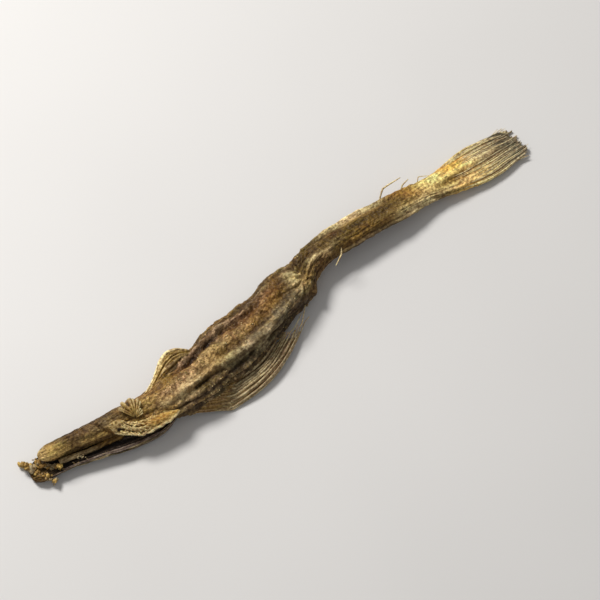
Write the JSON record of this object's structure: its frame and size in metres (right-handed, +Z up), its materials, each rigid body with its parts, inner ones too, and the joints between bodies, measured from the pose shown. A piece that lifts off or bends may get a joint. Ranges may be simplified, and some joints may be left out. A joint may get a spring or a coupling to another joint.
{
  "type": "dried bombay duck",
  "caption": "Whole sun-dried bombay duck lying on its belly, with open jaw, shrivelled trunk, belly fin and frayed tail fan.",
  "frame": {"origin": "middle of the bounding box's base, on the surface that the fish lies on", "axes": "+X from head to tail, +Y to the side away from the belly fin, +Z up"},
  "size_m": [0.2564, 0.0404, 0.0173],
  "materials": {
    "dried_skin": "mottled olive-brown dried fish skin, dark in its folds and cream on its ridges, with a waxy gloss"
  },
  "bodies": {
    "root": {"dried_fish": "dried_skin"}
  },
  "joints": []
}
